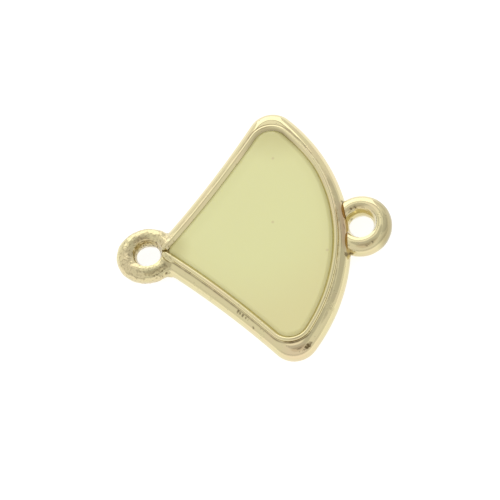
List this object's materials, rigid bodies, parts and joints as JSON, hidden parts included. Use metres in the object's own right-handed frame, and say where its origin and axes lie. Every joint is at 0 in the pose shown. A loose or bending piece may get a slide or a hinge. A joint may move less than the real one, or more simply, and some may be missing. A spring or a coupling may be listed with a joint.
{
  "type": "fan-shaped spacer connector",
  "caption": "Flat fan-shaped glass stone in a cast gold-tone bezel, with connector loops at the point and on the arc.",
  "frame": {"origin": "centre of the bounding box in plan, on the flat back", "axes": "+X runs from the loop at the fan's point to the loop on its arc, +Z from the flat back up through the stone's face"},
  "size_m": [0.0168, 0.0164, 0.0018],
  "materials": {
    "gold_brass": "pale gold plate on cast brass, polished, with fine casting pits",
    "opal_glass": "pale olive yellow translucent glass, smooth flat face with soft edges"
  },
  "bodies": {
    "root": {"bezel_setting": "gold_brass", "glass_stone": "opal_glass"}
  },
  "joints": []
}
